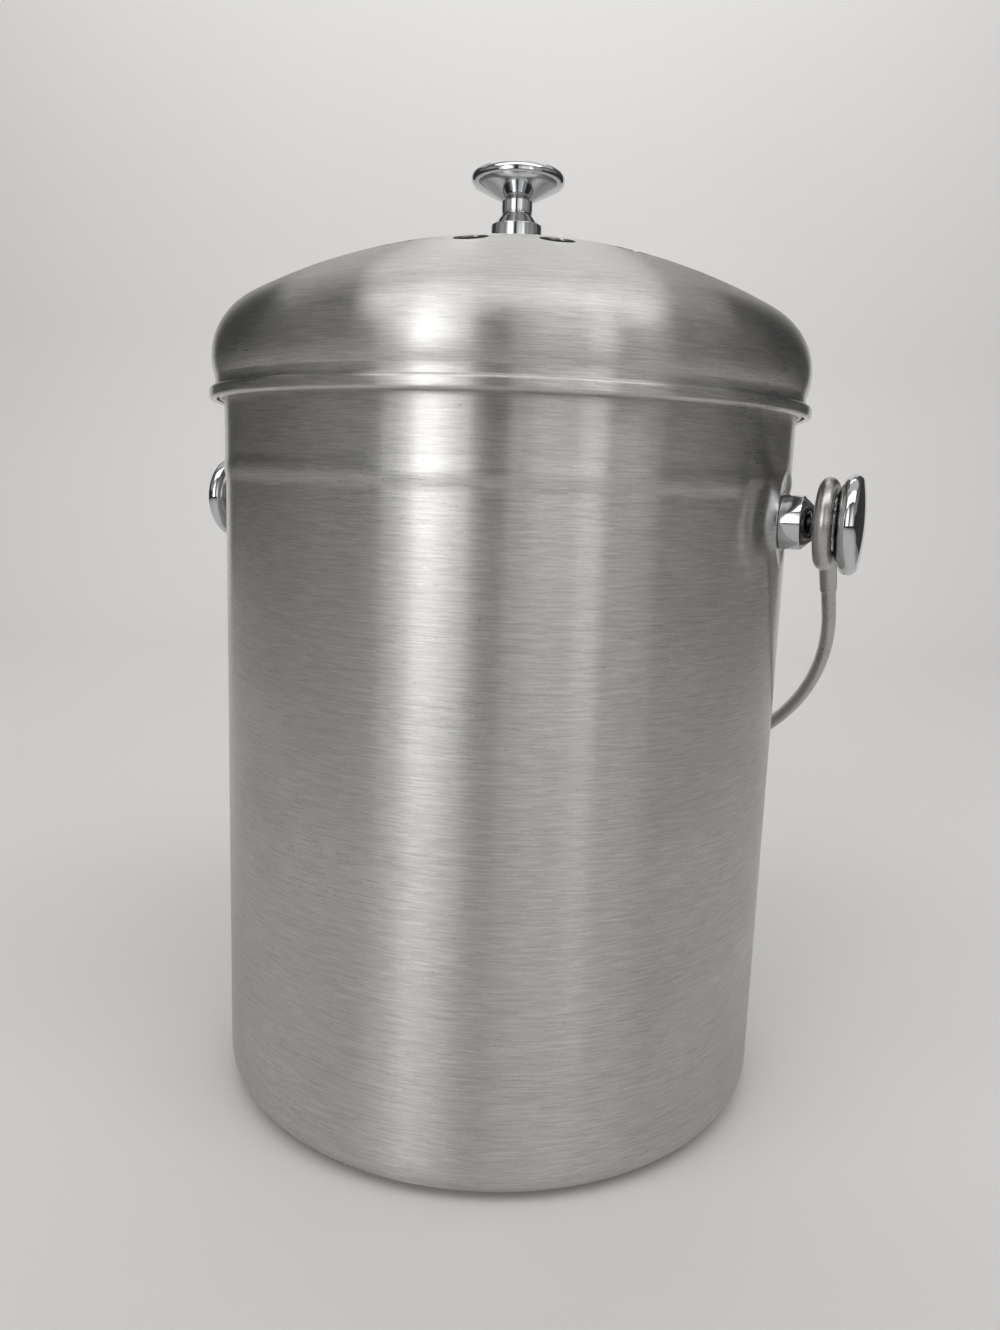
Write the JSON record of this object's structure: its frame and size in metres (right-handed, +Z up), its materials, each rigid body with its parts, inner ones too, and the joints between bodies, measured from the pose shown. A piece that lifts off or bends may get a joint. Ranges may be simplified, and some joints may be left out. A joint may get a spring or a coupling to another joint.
{
  "type": "countertop compost bin",
  "caption": "Round brushed-steel kitchen compost bin with a lift-off vented dome lid, a charcoal filter in the lid, a mushroom knob and a swinging wire bail handle.",
  "frame": {"origin": "middle of the flat base, on the axis of the bin", "axes": "+Z up along the bin's axis, X along the pivot axis of the bail, -Y the front, and the bail hangs down at the back, +Y"},
  "size_m": [0.2186, 0.183, 0.2867],
  "materials": {
    "brushed_sheet": "brushed round the body and the lid",
    "knob_chrome": "polished",
    "bail_steel": "satin",
    "collar_sheet": "satin",
    "fastener_steel": "plain",
    "seal_silicone": "matte",
    "retainer_plastic": "fine texture",
    "filter_felt": "carbon-filled felt"
  },
  "bodies": {
    "bin": {"body_shell": "brushed_sheet", "handle_knob_left": "knob_chrome", "handle_knob_right": "knob_chrome", "handle_screws": "fastener_steel", "handle_washers": "fastener_steel"},
    "bail": {"bail_wire": "bail_steel", "bail_eye_left": "bail_steel", "bail_eye_right": "bail_steel"},
    "lid": {"lid_dome": "brushed_sheet", "lid_collar": "collar_sheet", "lid_seal": "seal_silicone", "lid_knob": "knob_chrome", "lid_knob_screw": "fastener_steel", "lid_knob_washer": "fastener_steel"},
    "filter_cartridge": {"filter_retainer": "retainer_plastic", "charcoal_filter": "filter_felt"}
  },
  "joints": [
    {"name": "bail_swing", "type": "hinge", "parent": "bin", "child": "bail", "pos_m": [0, 0, 0.1842], "axis": [1, 0, 0], "range_deg": [0, 277.4]},
    {"name": "lid_lift", "type": "slide", "parent": "bin", "child": "lid", "axis": [0, 0, 1], "range_m": [0, 0.12]},
    {"name": "filter_pull", "type": "slide", "parent": "lid", "child": "filter_cartridge", "axis": [0, 0, -1], "range_m": [0, 0.009]}
  ]
}
